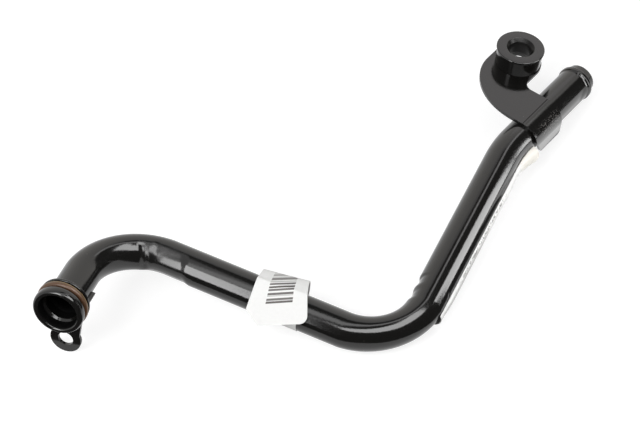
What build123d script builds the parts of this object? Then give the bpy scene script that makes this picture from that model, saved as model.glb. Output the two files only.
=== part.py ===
from build123d import *
import os
from math import cos, radians, sin, tan

# Coolant pipe. One bent steel tube has an O-ring spigot at one end and a beaded hose
# end at the other. An eyelet bracket sits under the spigot, a saddle bracket with a
# bolt boss sits beside the hose end, and two paper labels are stuck to the tube.
# Millimetres, +Z up, with the pipe lying as it comes to rest on its second bend, its
# eyelet and the bead of its hose end. The origin is on the floor under the middle of
# the outline.

# Tube
tube_od = 16.0
tube_wall = 1.5

# Centreline in plan: how far each stretch reaches from corner to corner before the
# bends round them off, and how far it drifts sideways. Run 1 lies along the X axis.
spigot_reach = 56.0
spigot_drift = 5.0
run_1_reach = 138.0
run_2_reach = 121.5
run_2_drift = 2.8
hose_reach = 62.9
hose_drift = 14.1

# Heights of the centreline
mouth_height = 32.6
corner_1_height = 22.0
corner_2_height = 6.8
corner_3_height = 14.0
tip_height = 8.2

first_bend_radius = 27.7
first_bend_flattening = 1.1
second_bend_radius = 26.9
second_bend_flattening = 1.6
easy_bend_radius = 60.0

# A tight bend draws its outer side in and spreads the tube a little upright
bend_spread = 0.2
bend_stations = 11

# Spigot: a rolled bead, the O-ring groove and a thin collar
nose_od = 22.7
nose_length = 4.6
nose_bore = 16.8
lip_round = 1.35
lip_back_round = 1.1
groove_od = 17.2
groove_width = 3.6
groove_bore = 14.4
collar_od = 22.4
collar_width = 1.5
collar_round = 0.6
neck_round = 1.2
groove_round = 0.5
shoulder_slope = 1.2
shoulder_lead = 0.2
waist_round = 0.8
o_ring_cord = 2.9
o_ring_play = 0.04

# Hose end
bead_od = 17.3
bead_width = 3.2
bead_setback = 5.2
bead_round = 0.7
tip_od = 14.8
tip_round = 1.0
tip_step_round = 0.4
tip_bevel = 0.5

# Both brackets are pressed from the same sheet
sheet = 1.5

# Eyelet bracket, hanging straight down from the tube behind the collar
eyelet_drop = 23.9
eyelet_lean = 2.3
eyelet_od = 14.0
eyelet_hole = 6.8
neck_width_top = 15.4
neck_width_waist = 12.4
eyelet_standoff = 0.3
cradle_length = 7.4
cradle_angle = 156.0
cradle_fillet = 1.2

# Saddle bracket, measured back from the hose tip and outward from the tube's axis
saddle_front = 32.4
saddle_back = 54.0
saddle_leg = 5.9
saddle_leg_round = 1.8
saddle_leg_cut = 5.2
saddle_leg_cut_height = 8.5
saddle_lean = 3.0
arm_reach = 36.4
arm_inner_edge = 13.3
arm_fillet = 4.3
arm_sweep_start = 5.0
arm_sweep_end = 27.5

# Boss brazed on the arm
boss_setback = 20.0
boss_offset = 24.3
boss_od = 21.4
boss_rim_od = 22.5
boss_rim = 0.9
boss_height = 8.8
boss_bore = 10.3
boss_chamfer = 1.45
boss_bevel = 0.2
arm_hole_clearance = 0.6

# Paper labels. The wrapped one goes once round the first run and overlaps itself on
# the upper side. The strip covers the lower outer side of the second run, stands off
# along its middle and bridges the inside of the easy bend. Angles are in the section.
paper = 0.25
paper_gap = 0.06
wrap_near = 40.6
wrap_far = 67.7
wrap_slack_near = 6.6
wrap_slack_far = 3.0
wrap_drop = 3.6
wrap_hem_slant = 24.0
wrap_near_slant = 22.5
wrap_far_slant = 3.0
wrap_corner_near = 3.6
wrap_cut_hem = 7.9
wrap_cut_side = 8.1
wrap_tail = 45.3
wrap_start_angle = -20.0
wrap_leave_angle = -195.0
wrap_facing = 35.6
strip_top_angle = 3.0
strip_rejoin_angle = -68.0
strip_low_angle = -84.0
strip_overrun = 2.5
strip_end_gap = 0.6
strip_bulge_first = 0.9
strip_bulge = 1.75
strip_gap = 0.12
strip_bulge_last = 4.2

# How far a cutting shape runs past what it cuts
overcut = 1.0

tube_r = tube_od / 2
bore_r = tube_r - tube_wall
UP = Vector(0, 0, 1)

corner_1 = Vector(-run_1_reach, 0, corner_1_height)
corner_2 = Vector(0, 0, corner_2_height)
corner_3 = Vector(run_2_drift, run_2_reach, corner_3_height)
spigot_mouth = Vector(spigot_drift - run_1_reach, -spigot_reach, mouth_height)
hose_tip = Vector(run_2_drift + hose_drift, run_2_reach + hose_reach, tip_height)


def direction(start, end):
    """Unit vector from start to end."""
    return (end - start).normalized()


spigot_way = direction(spigot_mouth, corner_1)
run_1_way = direction(corner_1, corner_2)
run_2_way = direction(corner_2, corner_3)
hose_way = direction(corner_3, hose_tip)


def turned(vector, axis, angle):
    """Vector turned about an axis through the origin."""
    return vector.rotate(Axis((0, 0, 0), axis), angle)


def upright(way):
    """Unit vector square to a run, as near to straight up as it can be."""
    return (UP - way * UP.dot(way)).normalized()


class Bend:
    """One bend of the centreline, with its tangent points, centre and turn."""

    def __init__(self, before, corner, after, radius, flattening):
        self.come = direction(before, corner)
        go = direction(corner, after)
        self.turn = self.come.get_angle(go)
        self.radius = radius
        self.flattening = flattening
        setback = radius * tan(radians(self.turn) / 2)
        self.start = corner - self.come * setback
        self.end = corner + go * setback
        self.normal = self.come.cross(go).normalized()
        self.centre = self.start + self.normal.cross(self.come) * radius

    def station(self, share):
        """Plane across the tube at a share of the turn, with x pointing out of the bend."""
        out = turned((self.start - self.centre).normalized(), self.normal, self.turn * share)
        along = turned(self.come, self.normal, self.turn * share)
        return Plane(origin=self.centre + out * self.radius, x_dir=out, z_dir=along)

    def body(self, radius):
        """Rod round the bend, with its outer side drawn in by the flattening."""
        sections = []
        for i in range(bend_stations):
            share = i / (bend_stations - 1)
            press = sin(radians(180 * share))
            drawn_in = self.flattening * press / 2
            spread = bend_spread * press if self.flattening else 0
            oval = Ellipse(radius - drawn_in, radius + spread)
            sections.append(self.station(share) * Pos(-drawn_in, 0) * oval)
        return loft(sections)


bend_1 = Bend(spigot_mouth, corner_1, corner_2, first_bend_radius, first_bend_flattening)
bend_2 = Bend(corner_1, corner_2, corner_3, second_bend_radius, second_bend_flattening)
bend_3 = Bend(corner_2, corner_3, hose_tip, easy_bend_radius, 0)

spigot_plane = Plane(origin=spigot_mouth, x_dir=-upright(spigot_way), z_dir=spigot_way)
hose_plane = Plane(origin=hose_tip, x_dir=upright(hose_way), z_dir=-hose_way)

# Planes of the saddle bracket: x out to the boss, y back from the tip, z off the tube
saddle_up = turned(upright(hose_way), hose_way, saddle_lean)
saddle_plane = Plane(origin=hose_tip, x_dir=saddle_up.cross(hose_way), z_dir=saddle_up)


def rod(start, end, radius):
    """Round bar between two points."""
    way = end - start
    bar = Cylinder(radius, way.length, align=(Align.CENTER, Align.CENTER, Align.MIN))
    return Plane(origin=start, z_dir=way).location * bar


def turning(points, rounds, plane):
    """Solid of revolution from a half section of (radius, depth) points.

    rounds maps a point's number to the radius that its corner is rounded with.
    """
    face = make_face(Polyline(*points, close=True))
    for number, size in rounds.items():
        corner = face.vertices().sort_by_distance((*points[number], 0))[0]
        face = fillet(corner, size)
    return plane.location * revolve(Plane.XZ * face, Axis.Z)


def tube_core(radius, start, end):
    """Rod of one radius along the centreline, flattened round its tight bends."""
    core = rod(start, bend_1.start, radius)
    core += bend_1.body(radius)
    core += rod(bend_1.end, bend_2.start, radius)
    core += bend_2.body(radius)
    core += rod(bend_2.end, bend_3.start, radius)
    core += bend_3.body(radius)
    core += rod(bend_3.end, end, radius)
    return core


groove_start = nose_length
groove_end = groove_start + groove_width
collar_end = groove_end + collar_width
spigot_length = collar_end + neck_round


def spigot_outside():
    """Bead, groove and collar, with a hollow round down to the tube."""
    nose_r = nose_od / 2
    groove_r = groove_od / 2
    collar_r = collar_od / 2
    points = [
        (0, 0), (nose_r, 0), (nose_r, groove_start), (groove_r, groove_start),
        (groove_r, groove_end), (collar_r, groove_end), (collar_r, collar_end),
        (tube_r, collar_end), (tube_r, spigot_length + overcut), (0, spigot_length + overcut),
    ]
    rounds = {
        1: lip_round, 2: lip_back_round, 3: groove_round, 4: groove_round, 5: groove_round,
        6: collar_round, 7: neck_round,
    }
    return turning(points, rounds, spigot_plane)


def spigot_inside():
    """Open bore of the bead, the narrow waist under the groove and the step to the tube."""
    mouth_r = nose_bore / 2
    waist_r = groove_bore / 2
    shoulder = groove_start - shoulder_lead
    mouth_edge = mouth_r + lip_round
    points = [
        (0, -overcut), (mouth_edge, -overcut), (mouth_edge, 0), (mouth_r, lip_round),
        (mouth_r, shoulder), (waist_r, shoulder + shoulder_slope), (waist_r, collar_end),
        (bore_r, spigot_length), (bore_r, spigot_length + overcut), (0, spigot_length + overcut),
    ]
    rounds = {3: neck_round, 4: waist_round, 5: waist_round, 6: waist_round}
    return turning(points, rounds, spigot_plane)


tip_r = tip_od / 2
bead_start = bead_setback - bead_width / 2
bead_end = bead_setback + bead_width / 2


def hose_outside():
    """Reduced tip and the rounded hose bead, measured back from the tip."""
    bead_r = bead_od / 2
    points = [
        (0, 0), (tip_r, 0), (tip_r, bead_start), (bead_r, bead_start + bead_round),
        (bead_r, bead_end - bead_round), (tube_r, bead_end), (tube_r, bead_end + overcut),
        (0, bead_end + overcut),
    ]
    rounds = {1: tip_round, 2: tip_step_round, 3: bead_round, 4: bead_round}
    return turning(points, rounds, hose_plane)


def hose_inside():
    """Bore of the reduced tip, opening to the bore of the tube behind the bead."""
    tip_bore = tip_r - tube_wall
    tip_edge = tip_bore + tip_bevel
    points = [
        (0, -overcut), (tip_edge, -overcut), (tip_edge, 0), (tip_bore, tip_bevel),
        (tip_bore, bead_start), (bore_r, bead_setback), (bore_r, bead_end + overcut),
        (0, bead_end + overcut),
    ]
    return turning(points, {}, hose_plane)


def pipe_tube():
    """The whole tube as one piece, hollow from mouth to tip."""
    swept_start = spigot_mouth + spigot_way * spigot_length
    swept_end = hose_tip - hose_way * bead_end
    outside = tube_core(tube_r, swept_start, swept_end) + spigot_outside() + hose_outside()
    inside = tube_core(bore_r, swept_start, swept_end) + spigot_inside() + hose_inside()
    return outside - inside


def o_ring():
    """Ring lying on the groove's floor, midway between its walls."""
    ring_r = groove_od / 2 + o_ring_play + o_ring_cord / 2
    middle = (groove_start + groove_end) / 2
    return spigot_plane.location * Pos(0, 0, middle) * Torus(ring_r, o_ring_cord / 2)


def eyelet_bracket():
    """Flange square to the spigot with the eyelet, and the cradle that hugs the tube."""
    front = spigot_length + eyelet_standoff
    waist = eyelet_drop - ((eyelet_od / 2) ** 2 - (neck_width_waist / 2) ** 2) ** 0.5
    top = ((tube_r + sheet / 2) ** 2 - (neck_width_top / 2) ** 2) ** 0.5
    neck = Polyline(
        (top, -neck_width_top / 2), (waist, -neck_width_waist / 2),
        (waist, neck_width_waist / 2), (top, neck_width_top / 2), close=True,
    )
    outline = make_face(neck) + Pos(eyelet_drop, 0) * Circle(eyelet_od / 2)
    outline -= Pos(eyelet_drop, 0) * Circle(eyelet_hole / 2)
    outline = Rot(0, 0, eyelet_lean) * outline
    flange = Pos(0, 0, front) * extrude(outline, sheet)
    band = Circle(tube_r + sheet) - Circle(tube_r)
    reach = 4 * tube_od
    half = radians(cradle_angle / 2)
    wedge = Polyline(
        (0, 0), (reach * cos(half), -reach * sin(half)), (reach, 0),
        (reach * cos(half), reach * sin(half)), close=True,
    )
    cradle = Pos(0, 0, front) * extrude(band & make_face(wedge), sheet + cradle_length)
    body = flange + cradle
    seat = Pos(0, 0, front) * Cylinder(tube_r, sheet, align=(Align.CENTER, Align.CENTER, Align.MIN))
    body -= seat
    inner_corner = body.edges().filter_by(GeomType.CIRCLE).filter_by(
        lambda edge: abs(edge.radius - tube_r - sheet) < 1e-3
        and abs(edge.center(CenterOf.MASS).Z - front - sheet) < 1e-3
    )
    body = fillet(inner_corner, cradle_fillet)
    return spigot_plane.location * body


def saddle_bracket():
    """Arm plate, the wrap over the viewer's side of the tube and its straight leg."""
    outer_r = tube_r + sheet
    length = saddle_back - saddle_front
    wrap = Circle(outer_r) - Circle(tube_r)
    wrap &= Pos(-outer_r / 2, outer_r / 2) * Rectangle(outer_r, outer_r)
    wrap += Pos(-tube_r - sheet / 2, -saddle_leg / 2) * Rectangle(sheet, saddle_leg)
    wrap = Pos(0, saddle_back) * (Plane.XZ * wrap)
    saddle = extrude(wrap, length, dir=(0, -1, 0))
    top = saddle_leg_cut_height - saddle_leg
    cut = Polyline(
        (saddle_back + overcut, top), (saddle_back, top),
        (saddle_back - saddle_leg_cut, -saddle_leg),
        (saddle_back - saddle_leg_cut, -saddle_leg - overcut),
        (saddle_back + overcut, -saddle_leg - overcut), close=True,
    )
    saddle -= extrude(Plane.YZ * make_face(cut), 2 * outer_r, dir=(-1, 0, 0))
    feet = saddle.edges().filter_by(Axis.X).group_by(Axis.Z)[0]
    saddle = fillet(feet, saddle_leg_round)
    end_r = (arm_reach - arm_inner_edge) / 2
    end_middle = arm_inner_edge + end_r
    neck = saddle_front - arm_fillet
    edge = [
        Line((0, saddle_back), (0, saddle_front)),
        Line((0, saddle_front), (arm_inner_edge - arm_fillet, saddle_front)),
        RadiusArc((arm_inner_edge - arm_fillet, saddle_front), (arm_inner_edge, neck), arm_fillet),
        Line((arm_inner_edge, neck), (arm_inner_edge, boss_setback)),
        ThreePointArc(
            (arm_inner_edge, boss_setback), (end_middle, boss_setback - end_r), (arm_reach, boss_setback)
        ),
        Line((arm_reach, boss_setback), (arm_reach, arm_sweep_end)),
        EllipticalCenterArc(
            (arm_sweep_start, arm_sweep_end), arm_reach - arm_sweep_start, saddle_back - arm_sweep_end,
            start_angle=0, arc_size=90,
        ),
        Line((arm_sweep_start, saddle_back), (0, saddle_back)),
    ]
    outline = make_face(Wire(edge))
    outline -= Pos(boss_offset, boss_setback) * Circle((boss_bore + arm_hole_clearance) / 2)
    arm = Pos(0, 0, tube_r) * extrude(outline, sheet)
    return saddle_plane.location * (saddle + arm)


def bolt_boss():
    """Spacer sleeve on the arm with a thin rim, its bore opened by a chamfer at the top."""
    inner = boss_bore / 2
    outer = boss_od / 2
    rim = boss_rim_od / 2
    under = boss_height - boss_rim
    points = [
        (inner, 0), (outer, 0), (outer, under - rim + outer), (rim, under),
        (rim, boss_height - boss_bevel), (rim - boss_bevel, boss_height),
        (inner + boss_chamfer, boss_height), (inner, boss_height - boss_chamfer),
    ]
    sleeve = revolve(Plane.XZ * make_face(Polyline(*points, close=True)), Axis.Z)
    return saddle_plane.location * Pos(boss_offset, boss_setback, tube_r + sheet) * sleeve


def polar(radius, angle):
    """Point in a section at an angle counted from the x axis."""
    return Vector(radius * cos(radians(angle)), radius * sin(radians(angle)))


def wrap_section(slack):
    """Section of the wrapped label, with x towards its open side and y over the tube.

    It starts stuck to the tube under the flap, goes round below and behind, stands off
    by the slack over the top and comes down in front as a flat flap.
    """
    inner = tube_r + paper_gap
    front = inner + paper + 3 * paper_gap
    sides = []
    for skin in (0, paper):
        stuck = CenterArc((0, 0), inner + skin, wrap_start_angle, wrap_leave_angle - wrap_start_angle)
        loose = Spline(
            stuck @ 1, polar(inner + 0.5 * slack + skin, -236), polar(inner + slack + skin, -272),
            polar(inner + 0.62 * slack + skin, -312), (front + skin, 0),
            tangents=[-polar(1, wrap_leave_angle + 90), (0, -1)],
        )
        flap = Line((front + skin, 0), (front + skin, -2 * tube_r))
        sides.append([stuck, loose, flap])
    near, far = sides
    caps = [Line(near[0] @ 0, far[0] @ 0), Line(near[2] @ 1, far[2] @ 1)]
    return make_face(Wire(near + far + caps))


def wrap_outlines(reach):
    """Outlines of the outer flap and of the layer under it, seen on the label's page.

    On the page x is the distance back from the second corner and y is up. The flap has
    a slanting hem with one corner cut off. The under layer has no hem, and its near side
    meets the flap's at the top of the fold.
    """
    near_tilt = tan(radians(wrap_near_slant))
    hem_tilt = tan(radians(wrap_hem_slant))
    hem_far = -wrap_drop - hem_tilt * (wrap_far - wrap_near)
    cut = wrap_far - wrap_cut_hem * cos(radians(wrap_hem_slant))
    far_top = (wrap_far + tan(radians(wrap_far_slant)) * reach, reach)
    flap = make_face(Polyline(
        (wrap_near, -wrap_drop), (cut, -wrap_drop - hem_tilt * (cut - wrap_near)),
        (wrap_far, hem_far + wrap_cut_side), far_top,
        (wrap_near + near_tilt * reach, reach - wrap_drop), close=True,
    ))
    flap = fillet(flap.vertices().sort_by_distance((wrap_near, -wrap_drop, 0))[0], wrap_corner_near)
    fold_top = tube_r + wrap_slack_near
    fold_near = wrap_near + near_tilt * (fold_top + wrap_drop)
    side_tilt = (fold_near - wrap_tail) / (fold_top + tube_r)
    under = make_face(Polyline(
        (wrap_tail - side_tilt * reach, -tube_r - reach), (wrap_far, -tube_r - reach),
        (wrap_far, hem_far + wrap_cut_side), far_top,
        (fold_near + side_tilt * reach, fold_top + reach), close=True,
    ))
    return flap, under


def wrap_label():
    """Paper label round the first run, trimmed to its outlines on its own page."""
    open_way = turned(upright(run_1_way), run_1_way, wrap_facing)
    reach = 4 * tube_od
    slope = (wrap_slack_far - wrap_slack_near) / (wrap_far - wrap_near)
    ends = []
    for back in (wrap_near - overcut, wrap_far + 4 * overcut):
        plane = Plane(origin=corner_2 - run_1_way * back, x_dir=open_way, z_dir=-run_1_way)
        ends.append(plane * wrap_section(wrap_slack_near + slope * (back - wrap_near)))
    flap, under = wrap_outlines(reach)
    behind_flap = tube_r + paper + 2.5 * paper_gap
    below_start = polar(tube_r, wrap_start_angle / 2).Y
    stuck = Pos(0, below_start, -behind_flap) * Box(
        2 * reach, reach, behind_flap, align=(Align.CENTER, Align.MAX, Align.MIN)
    )
    outer = extrude(flap, -reach) - stuck
    inner = extrude(under, reach) + (extrude(under, -behind_flap) & stuck)
    page = Plane(origin=corner_2, x_dir=-run_1_way, z_dir=-open_way)
    return loft(ends) & page.location * (outer + inner)


def strip_section(bulge):
    """Section of the strip, with x outward from the run's side and y up.

    Its upper edge touches the tube, its middle stands off by the bulge and its lower
    part is stuck.
    """
    inner = tube_r + strip_gap
    sides = []
    for skin in (0, paper):
        free = Spline(
            polar(inner + skin, strip_top_angle), polar(inner + 0.8 * bulge + skin, -14),
            polar(inner + bulge + skin, -30), polar(inner + 0.55 * bulge + skin, -52),
            polar(inner + skin, strip_rejoin_angle),
        )
        stuck = CenterArc((0, 0), inner + skin, strip_rejoin_angle, strip_low_angle - strip_rejoin_angle)
        sides.append([free, stuck])
    near, far = sides
    caps = [Line(near[0] @ 0, far[0] @ 0), Line(near[1] @ 1, far[1] @ 1)]
    return make_face(Wire(near + far + caps))


def strip_label():
    """Paper strip along the second run as far as the saddle bracket."""
    first = bend_2.end - run_2_way * strip_overrun
    length = (bend_3.start - first).length
    lifted = 0.15
    stops = []
    for share in (0, lifted / 2, lifted, 0.3, 0.45, 0.6, 0.75, 0.9, 1):
        swell = min(1, share / lifted)
        bulge = strip_bulge_first + (strip_bulge - strip_bulge_first) * swell
        stops.append((first + run_2_way * length * share, run_2_way, bulge))
    for share in (0.25, 0.5, 0.75, 1):
        turn = bend_3.station(share)
        bulge = strip_bulge + (strip_bulge_last - strip_bulge) * share
        stops.append((turn.origin, turn.z_dir, bulge))
    stops.append((hose_tip - hose_way * (saddle_back + strip_end_gap), hose_way, strip_bulge_last))
    sections = []
    for origin, way, bulge in stops:
        plane = Plane(origin=origin, x_dir=way.cross(upright(way)), z_dir=-way)
        sections.append(plane * strip_section(bulge))
    return loft(sections)


NODES = {
    "pipe_tube": pipe_tube,
    "o_ring": o_ring,
    "eyelet_bracket": eyelet_bracket,
    "saddle_bracket": saddle_bracket,
    "bolt_boss": bolt_boss,
    "wrap_label": wrap_label,
    "strip_label": strip_label,
}


def main():
    """Build every piece, move the origin under the middle and write the files."""
    os.makedirs("parts", exist_ok=True)
    pieces = {name: make() for name, make in NODES.items()}
    box = Compound(children=[copy_of(piece) for piece in pieces.values()]).bounding_box()
    shift = Pos(-box.center().X, -box.center().Y, -box.min.Z)
    for name, piece in pieces.items():
        export_step(shift * piece, f"parts/{name}.step")


def copy_of(piece):
    """Separate copy of a piece."""
    return Pos(0, 0, 0) * piece


main()
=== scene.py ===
from math import radians, tan

import bmesh
import bpy
import numpy as np
from mathutils import Matrix, Vector


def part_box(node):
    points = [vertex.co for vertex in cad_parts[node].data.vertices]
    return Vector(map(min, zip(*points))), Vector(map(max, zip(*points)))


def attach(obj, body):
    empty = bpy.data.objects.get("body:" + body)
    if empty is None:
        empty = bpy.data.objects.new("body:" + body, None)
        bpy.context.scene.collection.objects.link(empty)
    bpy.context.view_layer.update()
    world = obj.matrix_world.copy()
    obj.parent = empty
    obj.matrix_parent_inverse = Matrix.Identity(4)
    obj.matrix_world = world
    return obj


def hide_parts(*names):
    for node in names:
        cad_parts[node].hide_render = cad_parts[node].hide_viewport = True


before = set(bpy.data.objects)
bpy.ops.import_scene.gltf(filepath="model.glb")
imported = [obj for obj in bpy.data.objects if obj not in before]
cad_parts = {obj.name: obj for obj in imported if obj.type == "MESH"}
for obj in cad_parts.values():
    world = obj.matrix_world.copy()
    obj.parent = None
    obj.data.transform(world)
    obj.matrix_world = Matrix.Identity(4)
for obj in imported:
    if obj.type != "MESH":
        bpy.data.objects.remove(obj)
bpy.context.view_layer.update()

# Coolant pipe: a bent steel tube in glossy black paint, with an O-ring spigot, an eyelet
# bracket, a saddle bracket with a bolt boss, a hose end and two paper labels.
# Metres, +Z up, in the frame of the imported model.

MM = 0.001

# Route of the tube's centreline, corner by corner
SPIGOT_MOUTH = np.array([-133.0, -56.0, 32.6]) * MM
CORNER_1 = np.array([-138.0, 0.0, 22.0]) * MM
CORNER_2 = np.array([0.0, 0.0, 6.8]) * MM
CORNER_3 = np.array([2.8, 121.5, 14.0]) * MM
HOSE_TIP = np.array([16.9, 184.4, 8.2]) * MM
BEND_RADII = np.array([27.7, 26.9, 60.0]) * MM
BEND_FLATTENING = np.array([1.1, 1.6, 0.0]) * MM
BEND_SPREAD = 0.2 * MM

# Tube
TUBE_R = 8.0 * MM
WALL = 1.5 * MM

# Spigot, back from its mouth: rolled bead, groove over a waist in the bore, and collar
NOSE_R = 11.35 * MM
NOSE_LENGTH = 4.6 * MM
MOUTH_R = 8.4 * MM
BEAD_FULLNESS = 2.5
GROOVE_R = 8.6 * MM
GROOVE_WIDTH = 3.6 * MM
GROOVE_END = NOSE_LENGTH + GROOVE_WIDTH
GROOVE_ROUND = 0.5 * MM
COLLAR_R = 11.2 * MM
COLLAR_WIDTH = 1.5 * MM
COLLAR_END = GROOVE_END + COLLAR_WIDTH
COLLAR_ROUND = 0.6 * MM
NECK_ROUND = 1.2 * MM
WAIST_R = 7.2 * MM
WAIST_ROUND = 0.8 * MM
SHOULDER_LEAD = 0.2 * MM
SHOULDER_SLOPE = 1.2 * MM

# Hose end: bead, its middle set back from the tip, and the reduced, tapered tip
BEAD_R = 8.65 * MM
BEAD_WIDTH = 3.2 * MM
BEAD_SETBACK = 5.2 * MM
BEAD_ROUND = 0.7 * MM
TIP_R = 7.4 * MM
TIP_TAPER = 0.3 * MM
TIP_ROUND = 0.6 * MM
TIP_STEP_ROUND = 0.4 * MM
TIP_BEVEL = 0.5 * MM

# Plain stretch with which each end's profile runs on to the tube
END_RUN = 1.0 * MM

# O-ring: radius of its cord, its play over the groove's floor, and the shallow valley
# round its crest, as a depth and a half angle
CORD_R = 1.45 * MM
RING_PLAY = 0.04 * MM
VALLEY_DEPTH = 0.1 * MM
VALLEY_HALF = 0.25

# Meshes: sides round the tube, round what is turned and round the cord; stations on the
# whole route, in each bend and on each stretch with marks; steps over the bead's outer
# half and its lip; and the bore takes one station out of a few
TUBE_SIDES = 144
TURNED_SIDES = 128
CORD_SIDES = 40
ROUTE_STATIONS = 24
BEND_STATIONS = (90, 90, 16)
MARKED_STATIONS = 50
MARKED_RUNS = ((72 * MM, 92 * MM), (197 * MM, 214 * MM))
BEAD_STEPS = 41
LIP_STEPS = 21
BORE_STRIDE = 4

# Rows of the inside profile on the glossy lip, the mouth, dark and dull as painted shade, and the glossy
# step
LIP_ROWS = 9
MOUTH_ROWS = 18
STEP_ROWS = 5

# Marks of the bending die, in millimetres along the tube and degrees round it, where 180
# is up. Each has its depth, then a middle with a half width, or two flanks, each as where
# it starts and where it is full. A leaning mark moves along by its lean for each degree
# past its turn.
DEEP_CREASE = (0.9, (60.4, 3.3), ((198, 224), (318, 280)))
LIGHT_CREASE = (0.3, (67.2, 2.6), (220, 36))
CREASE_LEAN, CREASE_TURN = 0.03, 219
BED_STEPS = ((0.42, (200, 226)), (0.40, (262, 300)))
BED_START, BED_END, BED_LOW_SIDE = (60.5, 67.5), (83.4, 79.4), (352, 318)
BED_TURN = 228
VALE = (0.06, (229, 14), ((66, 71), (82, 76)))
VALE_SLOPE, VALE_PLACE = 1.6, 74
NOTCH = (0.16, (203.4, 1.8), (275, 24))
NOTCH_LEAN, NOTCH_TURN = 0.2, 285
RECESS = (0.85, ((194.5, 198.5), (210.4, 208.8)), (128, 58))
RECESS_BRIDGE = (0.8, (203.3, 3.0))

# Skin scuffed by the die, on the bed and lightly on the curve before it
SCUFFED_START, SCUFFED_END, SCUFFED_SIDES = (57.5, 61), (82.5, 77), ((192, 212), (312, 282))
SCUFFED_CURVE = (0.1, ((36, 46), (60, 56)))

# Brackets of pressed sheet, with the width of their soft edges and, in degrees, the least
# angle of an edge and the greatest within a flat
SHEET = 1.5 * MM
SADDLE_EDGE = 0.35 * MM
EYELET_EDGE = 0.3 * MM
EDGE_ANGLE = 35
FLAT_ANGLE = 0.5
MERGE_DISTANCE = 1e-6
CUT_DISTANCE = 1e-7

# Saddle bracket's lean, and the boss on its arm
SADDLE_LEAN = 3.0
BOSS_SETBACK = 20.0 * MM
BOSS_OFFSET = 24.3 * MM
BOSS_R = 10.7 * MM
BOSS_RIM_R = 11.25 * MM
BOSS_RIM = 0.9 * MM
BOSS_HEIGHT = 8.8 * MM
BOSS_BORE_R = 5.15 * MM
BOSS_CHAMFER = 1.45 * MM
BOSS_EDGE_ROUND = 0.15 * MM
BOSS_NECK_ROUND = 0.3 * MM
BOSS_TOP_ROUND = 0.42 * MM
BOSS_BORE_ROUND = 0.2 * MM
BOSS_PAINT_EDGE = 0.05 * MM

# Pressed line of the saddle, and its scuffed patch, in millimetres out along the arm,
# back along the tube and up: low end, high end and the width of the soft flanks
FOLD_HALF = 0.22 * MM
FOLD_DEPTH = 0.1 * MM
FOLD_OUT, FOLD_BACK, FOLD_UP = (-0.16, 0.16, 0.08), (32.5, 53.5, 0.4), (TUBE_R / MM, 60, 0.1)
SCUFF_OUT, SCUFF_BACK = (-8.6, -6.2, 1.2), (36, 46, 5)

# Printed bars on the wrapped label's page, which is turned from upright by so many degrees
# and lies in front of the tube's middle. In millimetres: middle, width and ink of each
# row, the slant of the rows, and the block's ends along the tube with the lean of each.
PAGE_FACING = 35.6
PAGE_DEPTH = (-40, -1.5, 0.1)
BARS_SLANT = 25.6
BARS_LOW = 25.9
BARS_NEAR, BARS_NEAR_LEAN = 49.9, 0.26
BARS_FAR, BARS_FAR_LEAN = 60.5, 0.16
BARS_BACK = 90
BARS_SOFT = 0.06
BARS_TOP, BARS_TOP_SOFT = 16.4, 0.01
BARS = (
    (1.1, 1.0, 1.0), (1.82, 0.4, 0.35), (2.5, 0.95, 0.95), (4.1, 0.5, 0.45), (5.05, 1.05, 0.95),
    (7.0, 0.95, 0.95), (8.3, 0.95, 1.0), (9.75, 0.9, 0.9), (10.95, 0.6, 0.4), (12.35, 1.2, 0.8),
    (13.35, 0.8, 0.2), (14.4, 0.9, 0.6), (15.5, 1.0, 0.25),
)

# Marks on the strip, in millimetres along the second run and down from the tube's middle:
# low end, high end and the width of the soft flanks. The shade band is painted shade on the
# lower stretch, and the beige patch by the saddle is a painted shadow of the bracket.
GREYED_STRETCH = (30, 66, 14)
SHADE_BAND_DOWN, SHADE_BAND_STRENGTH = (0.9, 9, 0.2), 0.35
OUTLINE_DOWN = (1.2, 9, 0.1)
SPECKS_ALONG, SPECKS_DOWN = (52, 92, 10), (0.1, 1.0, 0.15)
BRACKET_SHADOW_ALONG = (119, 190, 6)

# Paints and papers: tones in linear light, roughness, strength of the relief, scales of
# the noises, and from where to where a noise rises from nothing to full
PAINT = (0.0053, 0.005, 0.0046)
PAINT_SPECK = (0.07, 0.065, 0.06)
PAINT_SCUFF = (0.10, 0.095, 0.09)
PAINT_IOR = 1.5
PAINT_ROUGHNESS = 0.12
PAINT_SHINE = 0.5
PAINT_RELIEF = 0.14
GLOSS_SWING = 0.08
WORKED_ROUGHNESS = 0.26
DIMPLE_SCALE = 1300
SPECK_SCALE = 130
SPECK_RIM = (0.022, 0.012)
CLOUD_SCALE = 60
FOLD_SHINE = 0.1
SCUFF_GRAIN, SCUFF_RISE = 1.6, (0.55, 0.62)
BOSS_BORE_ROUGHNESS = 0.3
BOSS_BORE_SHINE = 0.15
# Inside the tube: near-black tones, high roughness and almost no shine, as painted shade in the bore
BORE_SHADE_TONES = (0.002, 0.002, 0.002), (0.005, 0.005, 0.005)
BORE_GRAIN = 400
BORE_ROUGHNESS = 0.6
BORE_SHINE = 0.02
# O-ring tones across its cord, from the mouth's side to the collar's: brown rubber, darker towards the
# mouth and lighter towards the collar as painted shade and painted light, with a dark line near the crest
RUBBER_LIT_AND_SHADED_TONES = (
    (0.0, (0.06, 0.026, 0.009)), (0.38, (0.10, 0.042, 0.013)), (0.47, (0.02, 0.010, 0.005)),
    (0.56, (0.17, 0.105, 0.032)), (0.75, (0.15, 0.078, 0.022)), (1.0, (0.10, 0.055, 0.016)),
)
RUBBER_ROUGHNESS = 0.38
WRAP_TONES = (0.69, 0.69, 0.68), (0.75, 0.75, 0.74)
STRIP_TONES = (0.84, 0.84, 0.83), (0.90, 0.90, 0.89)
INK = (0.05, 0.042, 0.038)
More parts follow.
